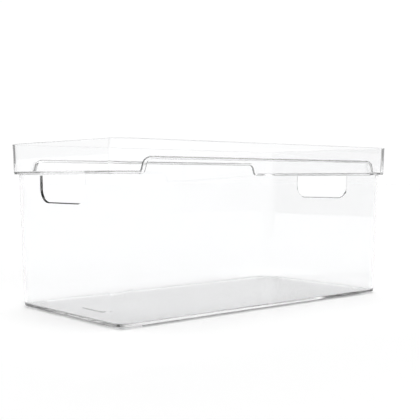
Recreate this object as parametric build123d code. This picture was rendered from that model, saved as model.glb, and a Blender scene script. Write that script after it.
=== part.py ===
from build123d import *
import os

# Clear fridge bin: a one-piece open tub with a stepped collar and two hand-holes, on four corner feet.
# Millimetres. The origin is at the middle of the footprint, on the surface that the bin stands on.
# +X runs along the bin, +Y towards its back and +Z up.

# Driving dimensions.
LENGTH = 300.0  # over the collar at the rim
WIDTH = 150.0
HEIGHT = 130.0  # from the soles of the feet to the rim
FOOT_HEIGHT = 1.5
WALL = 1.8
FLOOR = 1.8
CORNER = 11.0  # plan radius of every outer corner

# The collar is the wider band round the rim.
COLLAR_HEIGHT = 24.0  # at the ends and the corners
COLLAR_HEIGHT_SIDE = 13.8  # along the middle of the long sides
COLLAR_DRAFT = 0.8  # how far the collar leans in over its height
COLLAR_STEP = 3.0  # how far the collar stands out from the body
BODY_DRAFT = 2.7  # how far the body leans in from the collar to the base

# The wave is where the collar's lower edge rises along a long side.
WAVE_FOOT = 23.5  # from the end of the bin to the foot of the rise
WAVE_LEAN = 3.0  # how far the rise leans away from the end
WAVE_FOOT_RADIUS = 3.2
WAVE_TOP_RADIUS = 5.0

# The hand-holes are through both ends, under the collar.
HOLE_WIDTH = 60.0
HOLE_BOTTOM = 85.0
HOLE_TOP = 105.0
HOLE_RADIUS = 10.0  # the two lower corners
HOLE_LAND = 0.4  # how deep the hole is straight, from the inside, before it opens
HOLE_FLARE = 31.0  # degrees by which its sides and foot open towards the outside

# Blends between faces.
RIM_RADIUS = 0.7
COLLAR_EDGE_RADIUS = 0.5
UNDERSIDE_RADIUS = 0.5
LEDGE_RADIUS = 1.3
LEDGE_FOOT_RADIUS = 0.5
BASE_RADIUS = 1.0
FLOOR_RADIUS = 1.0
HOLE_EDGE_RADIUS = 0.3

# The feet are soft strips that follow the corners of the base.
FOOT_INSET = 2.6  # from the edge of the base
FOOT_STRIP = 6.0
FOOT_REACH = 22.0  # how far each strip runs along both sides of its corner
FOOT_END_RADIUS = 2.0
FOOT_SOLE_RADIUS = 0.5

# A plain raised bar lies across the floor near the left end.
BAR_LENGTH = 28.0
BAR_WIDTH = 4.5
BAR_HEIGHT = 0.4
BAR_PLACE = -117.0

# Heights and insets that follow from those.
BASE_Z = FOOT_HEIGHT
FLOOR_Z = BASE_Z + FLOOR
COLLAR_Z = HEIGHT - COLLAR_HEIGHT
COLLAR_SIDE_Z = HEIGHT - COLLAR_HEIGHT_SIDE
BODY_TOP_INSET = COLLAR_DRAFT + COLLAR_STEP
BODY_BASE_INSET = BODY_TOP_INSET + BODY_DRAFT
SPARE = 10.0  # how far a cutting tool runs past what it cuts
NEAR = 0.1  # how closely an edge or a corner is looked for


def outline(inset, corner, height):
    """A rounded rectangle that lies inset from the bin's plan, at a height."""
    return Pos(0, 0, height) * RectangleRounded(LENGTH - 2 * inset, WIDTH - 2 * inset, corner)


def leaning_box(low, high, corner, bottom, top):
    """A tapered box from bottom to top. Its walls lean through two pairs of inset and height."""
    lean = (high[0] - low[0]) / (high[1] - low[1])
    levels = [outline(low[0] + lean * (z - low[1]), corner, z) for z in (bottom, top)]
    return loft([level.face() for level in levels])


def body(thickness, bottom, top):
    """The tapered body as a block, with its sides moved in by a thickness."""
    base = (BODY_BASE_INSET + thickness, BASE_Z)
    ledge = (BODY_TOP_INSET + thickness, COLLAR_Z)
    return leaning_box(base, ledge, CORNER - thickness, bottom, top)


def is_at(point, place):
    """Whether two points of a drawing are the same."""
    return all(abs(a - b) < NEAR for a, b in zip(point, place))


def collar_side_view(thickness):
    """What the collar covers, seen from the front: low at both ends and high between the two waves."""
    foot = (LENGTH / 2 - WAVE_FOOT + thickness, COLLAR_Z + thickness)
    crest = (foot[0] - WAVE_LEAN, COLLAR_SIDE_Z + thickness)
    end = LENGTH / 2 + SPARE
    half = [crest, foot, (end, foot[1]), (end, HEIGHT + SPARE)]
    mirrored = [(-x, z) for x, z in reversed(half)]
    view = make_face(Polyline(*half, *mirrored, close=True))
    for bend, radius in (
        (foot, WAVE_FOOT_RADIUS - thickness),
        (crest, WAVE_TOP_RADIUS + thickness),
    ):
        bends = [v for v in view.vertices() if is_at((abs(v.X), v.Y), bend)]
        view = fillet(bends, radius)
    return Plane.XZ * view


def collar(thickness, top):
    """The collar as a block, with its sides and its lower edge moved in by a thickness."""
    lower = (COLLAR_DRAFT + thickness, COLLAR_Z)
    rim = (thickness, HEIGHT)
    block = leaning_box(lower, rim, CORNER - thickness, COLLAR_Z - SPARE, top)
    return block & extrude(collar_side_view(thickness), WIDTH, both=True)


def plan_inset(point):
    """How far a point lies inside the bin's plan at the rim."""
    along = abs(point.X) - (LENGTH / 2 - CORNER)
    across = abs(point.Y) - (WIDTH / 2 - CORNER)
    if along > 0 and across > 0:
        return CORNER - (along**2 + across**2) ** 0.5
    return CORNER - max(along, across)


def edges_within(shape, heights, insets):
    """The edges whose middle lies between two heights and two plan insets."""
    chosen = []
    for edge in shape.edges():
        middle = edge @ 0.5
        high_enough = heights[0] - NEAR < middle.Z < heights[1] + NEAR
        if high_enough and insets[0] < plan_inset(middle) < insets[1]:
            chosen.append(edge)
    return chosen


def outer_block():
    """The tub's outside as one block, with its collar's edges blended."""
    block = body(0, BASE_Z, HEIGHT) + collar(0, HEIGHT)
    step = (COLLAR_Z, COLLAR_SIDE_Z)
    half_step = COLLAR_DRAFT + COLLAR_STEP / 2
    block = fillet(edges_within(block, step, (half_step + 1, 3 * half_step)), UNDERSIDE_RADIUS)
    block = fillet(edges_within(block, step, (0, half_step - 1)), COLLAR_EDGE_RADIUS)
    return fillet(block.edges().group_by(Axis.Z)[0], BASE_RADIUS)


def inner_block():
    """The space inside the tub, open upwards, with the ledge's and the floor's edges blended."""
    block = body(WALL, FLOOR_Z, HEIGHT + SPARE) + collar(WALL, HEIGHT + SPARE)
    ledge = (COLLAR_Z + WALL, COLLAR_SIDE_Z + WALL)
    half_step = COLLAR_DRAFT + WALL + COLLAR_STEP / 2
    block = fillet(edges_within(block, ledge, (half_step + 1, 3 * half_step)), LEDGE_RADIUS)
    block = fillet(edges_within(block, ledge, (0, half_step - 1)), LEDGE_FOOT_RADIUS)
    return fillet(block.edges().group_by(Axis.Z)[0], FLOOR_RADIUS)


def hand_hole_shape():
    """One hand-hole seen from the end of the bin."""
    height = HOLE_TOP - HOLE_BOTTOM
    shape = Pos(0, HOLE_BOTTOM + height / 2) * Rectangle(HOLE_WIDTH, height)
    return fillet(shape.vertices().group_by(Axis.Y)[0], HOLE_RADIUS)


def hand_holes():
    """The straight part of both hand-holes."""
    return extrude(Plane.YZ * hand_hole_shape(), LENGTH, both=True)


def hand_hole_flares():
    """What opens both hand-holes towards the outside, at their sides and foot."""
    drop = (COLLAR_Z - HOLE_BOTTOM) / (COLLAR_Z - BASE_Z) * BODY_DRAFT
    start = LENGTH / 2 - BODY_TOP_INSET - drop - WALL + HOLE_LAND
    flare = extrude(Plane.YZ.offset(start) * hand_hole_shape(), SPARE / 2, taper=-HOLE_FLARE)
    below = Pos(LENGTH / 2, 0, HOLE_TOP - HEIGHT / 2) * Box(LENGTH, WIDTH, HEIGHT)
    flare = flare & below
    return flare + mirror(flare, Plane.YZ)


def hand_hole_edges(shell):
    """The mouths of both hand-holes on the inside, all but their straight top edges."""
    chosen = []
    for edge in shell.edges():
        middle = edge @ 0.5
        beside = abs(middle.Y) < HOLE_WIDTH / 2 + NEAR
        inside = BODY_TOP_INSET + WALL / 2 < plan_inset(middle) < BODY_BASE_INSET + WALL
        level = HOLE_BOTTOM - NEAR < middle.Z < HOLE_TOP - NEAR
        if beside and inside and level:
            chosen.append(edge)
    return chosen


def floor_bar():
    """The plain raised bar on the floor."""
    bar = extrude(SlotOverall(BAR_LENGTH, BAR_WIDTH, rotation=90), 2 * BAR_HEIGHT)
    bar = fillet(bar.edges().group_by(Axis.Z)[-1], BAR_HEIGHT / 2)
    return Pos(BAR_PLACE, 0, FLOOR_Z - BAR_HEIGHT) * bar


def tub():
    """The one-piece moulding."""
    shell = outer_block() - inner_block()
    shell = fillet(shell.edges().group_by(Axis.Z)[-1], RIM_RADIUS)
    shell = shell - hand_holes()
    shell = fillet(hand_hole_edges(shell), HOLE_EDGE_RADIUS)
    return shell - hand_hole_flares() + floor_bar()


def foot(side, back):
    """The soft strip under one corner: side and back are 1 or -1."""
    outer = outline(BODY_BASE_INSET + FOOT_INSET, CORNER - FOOT_INSET, 0).face()
    inner_corner = CORNER - FOOT_INSET - FOOT_STRIP
    inner = outline(BODY_BASE_INSET + FOOT_INSET + FOOT_STRIP, inner_corner, 0).face()
    reach = Pos(side * (LENGTH / 2 - BODY_BASE_INSET), back * (WIDTH / 2 - BODY_BASE_INSET))
    strip = (outer - inner) & (reach * Rectangle(2 * FOOT_REACH, 2 * FOOT_REACH))
    pad = extrude(strip, FOOT_HEIGHT)
    ends = [e for e in pad.edges().filter_by(Axis.Z) if is_strip_end(e @ 0.5)]
    pad = fillet(ends, FOOT_END_RADIUS)
    return fillet(pad.edges().group_by(Axis.Z)[0], FOOT_SOLE_RADIUS)


def is_strip_end(point):
    """Whether a point lies on the square end of a foot's strip."""
    along = LENGTH / 2 - BODY_BASE_INSET - abs(point.X)
    across = WIDTH / 2 - BODY_BASE_INSET - abs(point.Y)
    return max(along, across) > FOOT_REACH - NEAR


def write(name, shape):
    """Writes one piece as parts/NAME.step."""
    export_step(shape, f"parts/{name}.step")
    print(name, "volume", round(shape.volume), "mm3")


os.makedirs("parts", exist_ok=True)
write("tub", tub())
for side_name, side in (("left", -1), ("right", 1)):
    for depth_name, back in (("front", -1), ("back", 1)):
        write(f"foot_{depth_name}_{side_name}", foot(side, back))
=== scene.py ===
import math

import bpy
from mathutils import Matrix, Vector

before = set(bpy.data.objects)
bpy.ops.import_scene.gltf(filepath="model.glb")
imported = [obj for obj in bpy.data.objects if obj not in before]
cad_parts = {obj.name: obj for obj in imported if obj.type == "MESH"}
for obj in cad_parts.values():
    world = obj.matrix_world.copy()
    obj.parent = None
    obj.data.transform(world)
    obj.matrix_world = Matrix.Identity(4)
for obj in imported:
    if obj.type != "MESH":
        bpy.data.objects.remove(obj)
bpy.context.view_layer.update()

# ---------------------------------------------------------------- camera
IMAGE_SIDE = 420
FOCAL = 806.5  # in pixels of that picture
CENTRE = (176.0, 204.1)  # where the view axis meets the picture, from its top left corner
CAMERA_PLACE = (-0.4615, -0.5071, 0.1027)
YAW = math.radians(39.94)  # from +Y towards +X
PITCH = math.radians(1.81)  # downwards
SENSOR = 36.0
NEAREST = 0.01
FURTHEST = 100


def add_camera():
    """The camera at the photograph's angle."""
    data = bpy.data.cameras.new("camera")
    data.sensor_width = SENSOR
    data.lens = FOCAL / IMAGE_SIDE * SENSOR
    data.shift_x = (IMAGE_SIDE / 2 - CENTRE[0]) / IMAGE_SIDE
    data.shift_y = (CENTRE[1] - IMAGE_SIDE / 2) / IMAGE_SIDE
    data.clip_start = NEAREST
    data.clip_end = FURTHEST
    camera = bpy.data.objects.new("camera", data)
    bpy.context.scene.collection.objects.link(camera)
    turn = Matrix.Rotation(-YAW, 4, "Z") @ Matrix.Rotation(math.pi / 2 - PITCH, 4, "X")
    camera.matrix_world = Matrix.Translation(Vector(CAMERA_PLACE)) @ turn
    bpy.context.scene.camera = camera


add_camera()

# ---------------------------------------------------------------- node helpers


def new_material(name):
    """An empty node material, with its output and its Principled shader."""
    material = bpy.data.materials.new(name)
    material.use_nodes = True
    tree = material.node_tree
    tree.nodes.clear()
    output = tree.nodes.new("ShaderNodeOutputMaterial")
    shader = tree.nodes.new("ShaderNodeBsdfPrincipled")
    tree.links.new(shader.outputs["BSDF"], output.inputs["Surface"])
    return material, tree, shader


def noise(tree, place, scale, detail):
    """Noise over the object's own coordinates."""
    node = tree.nodes.new("ShaderNodeTexNoise")
    node.inputs["Scale"].default_value = scale
    node.inputs["Detail"].default_value = detail
    tree.links.new(place, node.inputs["Vector"])
    return node.outputs["Fac"]


def remap(tree, value, low, high, to_low, to_high):
    """The value moved from one range to another."""
    node = tree.nodes.new("ShaderNodeMapRange")
    for socket, number in zip(("From Min", "From Max", "To Min", "To Max"), (low, high, to_low, to_high)):
        node.inputs[socket].default_value = number
    tree.links.new(value, node.inputs["Value"])
    return node.outputs["Result"]


def bump(tree, height, strength, distance):
    """A bump of that height."""
    node = tree.nodes.new("ShaderNodeBump")
    node.inputs["Strength"].default_value = strength
    node.inputs["Distance"].default_value = distance
    tree.links.new(height, node.inputs["Height"])
    return node.outputs["Normal"]


def math_node(tree, operation, first, second):
    """The result of a Math node on two sockets or numbers."""
    node = tree.nodes.new("ShaderNodeMath")
    node.operation = operation
    for socket, value in zip(node.inputs, (first, second)):
        if isinstance(value, (int, float)):
            socket.default_value = value
        else:
            tree.links.new(value, socket)
    return node.outputs[0]


def split_axes(tree, vector):
    """The three parts of a vector."""
    node = tree.nodes.new("ShaderNodeSeparateXYZ")
    tree.links.new(vector, node.inputs[0])
    return node.outputs["X"], node.outputs["Y"], node.outputs["Z"]


# ---------------------------------------------------------------- materials
CLEAR_COLOUR = (0.99, 0.992, 0.995, 1)
CLEAR_IOR = 1.57
WAVE_SCALE = 18.0
WAVE_BUMP = (0.02, 0.002)  # strength, and distance in metres
POLISH_SCALE = 900.0
POLISH = (0.3, 0.75, 0.004, 0.02)  # a range of the noise, and the roughness over it
UNDERSIDE_SATIN = (0.0016, 0.0019, 0.02, 0.0)  # a range of height in metres, and the roughness added over it
FOOT_COLOUR = (0.96, 0.965, 0.97, 1)
FOOT_IOR = 1.45
GRAIN_SCALE = 2500.0
GRAIN = (0.3, 0.7, 0.25, 0.45)
GRAIN_BUMP = (0.2, 0.0001)


def clear_plastic():
    """Crystal-clear moulded plastic, with the faint waviness of a moulding and a satin underside."""
    material, tree, shader = new_material("clear_plastic_look")
    place = tree.nodes.new("ShaderNodeTexCoord").outputs["Object"]
    shader.inputs["Base Color"].default_value = CLEAR_COLOUR
    shader.inputs["Transmission Weight"].default_value = 1.0
    shader.inputs["IOR"].default_value = CLEAR_IOR
    waves = noise(tree, place, WAVE_SCALE, 1.0)
    fine = noise(tree, place, POLISH_SCALE, 2.0)
    polish = remap(tree, fine, *POLISH)
    x, y, z = split_axes(tree, place)
    underside = remap(tree, z, *UNDERSIDE_SATIN)
    tree.links.new(math_node(tree, "ADD", polish, underside), shader.inputs["Roughness"])
    tree.links.new(bump(tree, waves, *WAVE_BUMP), shader.inputs["Normal"])
    return material


def soft_foot():
    """Milky soft plastic with a satin skin."""
    material, tree, shader = new_material("soft_foot_look")
    place = tree.nodes.new("ShaderNodeTexCoord").outputs["Object"]
    shader.inputs["Base Color"].default_value = FOOT_COLOUR
    shader.inputs["IOR"].default_value = FOOT_IOR
    grain = noise(tree, place, GRAIN_SCALE, 3.0)
    tree.links.new(remap(tree, grain, *GRAIN), shader.inputs["Roughness"])
    tree.links.new(bump(tree, grain, *GRAIN_BUMP), shader.inputs["Normal"])
    return material


looks = {"clear_plastic": clear_plastic(), "soft_foot": soft_foot()}
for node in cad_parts.values():
    for material_slot in node.material_slots:
        name = material_slot.material.name.split(".")[0]
        material_slot.material = looks[name]

# The soft feet stand a hair clear of the tub, so that light comes between the two.
HAIR = 0.00003
for name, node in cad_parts.items():
    if name.startswith("foot"):
        shrink = node.modifiers.new("hair", "DISPLACE")
        shrink.strength = -HAIR
        shrink.mid_level = 0.0

# ---------------------------------------------------------------- stage


def ramp(tree, value, stops):
    """A smooth curve of brightness through stops of place and value."""
    node = tree.nodes.new("ShaderNodeValToRGB")
    node.color_ramp.interpolation = "EASE"
    elements = node.color_ramp.elements
    while len(elements) < len(stops):
        elements.new(0.5)
    for element, (place, level) in zip(elements, stops):
        element.position = place
        element.color = (level, level, level, 1)
    tree.links.new(value, node.inputs["Fac"])
    return node.outputs["Color"]


def by_bearing(tree, x, y, stops):
    """Brightness by bearing, from +Y towards +X."""
    bearing = math_node(tree, "ARCTAN2", x, y)
    turn = remap(tree, bearing, -math.pi, math.pi, 0.0, 1.0)
    return ramp(tree, turn, [((angle + 180) / 360, level) for angle, level in stops])


# How bright the studio is round the horizon, by bearing in degrees.
ROUND = [
    (-180, 0.6), (-150, 0.9), (-100, 0.75), (-85, 0.15), (-44, 0.15), (-34, 0.7), (-26, 0.7), (-20, 0.3),
    (15, 0.3), (22, 1.0), (62, 1.0), (68, 0.3), (108, 0.3), (118, 0.7), (133, 0.75), (142, 1.0),
    (160, 1.0), (180, 0.6),
]
TOP_PANEL = 1.9
HORIZON = 1.03
# Where the light stops being low, and where the panel overhead begins, by the height of the direction.
LOW = (0.5, 0.6, 1.0, 0.1)
TOP = (0.8, 0.88, 0.0, TOP_PANEL)

# The floor's emission paints a glow round the bin and leaves a painted shade under it.
FLOOR_TONE = 0.88
FLOOR_SIZE = 12.0
FLOOR_DROP = 0.0001
GLOW = (0.0, 0.1, 0.5, 0.35)  # a range of distance from the bin in metres, and the glow over it
SHADED_HALF = (0.141, 0.066)  # half the length and half the width of what is shaded, in metres
SHADED_EDGE = (-0.004, 0.004, 0.0, 1.0)


def floor_glow(tree, x, y):
    """The light of the table itself, strongest at the bin's edge, so that no shadow lies round the bin."""
    past = []
    for place, half in zip((x, y), SHADED_HALF):
        past.append(math_node(tree, "SUBTRACT", math_node(tree, "ABSOLUTE", place, 0.0), half))
    outside = math_node(tree, "MAXIMUM", *past)
    return math_node(tree, "MULTIPLY", remap(tree, outside, *SHADED_EDGE), remap(tree, outside, *GLOW))


def add_floor():
    """A pale floor, wider than any view; its emission paints a glow round the bin and leaves a painted shade
    under it.
    """
    size = FLOOR_SIZE
    mesh = bpy.data.meshes.new("floor")
    corners = [(-size, -size, 0), (size, -size, 0), (size, size, 0), (-size, size, 0)]
    mesh.from_pydata(corners, [], [(0, 1, 2, 3)])
    floor = bpy.data.objects.new("floor", mesh)
    bpy.context.scene.collection.objects.link(floor)
    material, tree, shader = new_material("pale_floor_painted_glow")
    x, y, z = split_axes(tree, tree.nodes.new("ShaderNodeTexCoord").outputs["Object"])
    shader.inputs["Base Color"].default_value = (FLOOR_TONE, FLOOR_TONE, FLOOR_TONE, 1)
    # Painted glow round the bin and painted shade under it, carried in the floor's emission.
    tree.links.new(floor_glow(tree, x, y), shader.inputs["Emission Color"])
    shader.inputs["Emission Strength"].default_value = FLOOR_TONE
    shader.inputs["Roughness"].default_value = 0.9
    shader.inputs["Specular IOR Level"].default_value = 0.1
    mesh.materials.append(material)
    floor.location.z = -FLOOR_DROP


def add_world():
    """Soft light from all round and a stronger panel overhead, with darker gaps between them."""
    world = bpy.data.worlds.new("studio")
    bpy.context.scene.world = world
    world.use_nodes = True
    tree = world.node_tree
    background = tree.nodes["Background"]
    x, y, z = split_axes(tree, tree.nodes.new("ShaderNodeTexCoord").outputs["Generated"])
    around = by_bearing(tree, x, y, ROUND)
    low = remap(tree, z, *LOW)
    top = remap(tree, z, *TOP)
    light = math_node(tree, "ADD", math_node(tree, "MULTIPLY", around, low), top)
    tree.links.new(light, background.inputs["Color"])
    background.inputs["Strength"].default_value = HORIZON


add_floor()
add_world()
scene = bpy.context.scene
scene.view_settings.view_transform = "Standard"

# Light that enters the clear floor leaves it only after many turns between its faces.
scene.cycles.max_bounces = 128
scene.cycles.transmission_bounces = 128
scene.cycles.glossy_bounces = 48
scene.cycles.diffuse_bounces = 16
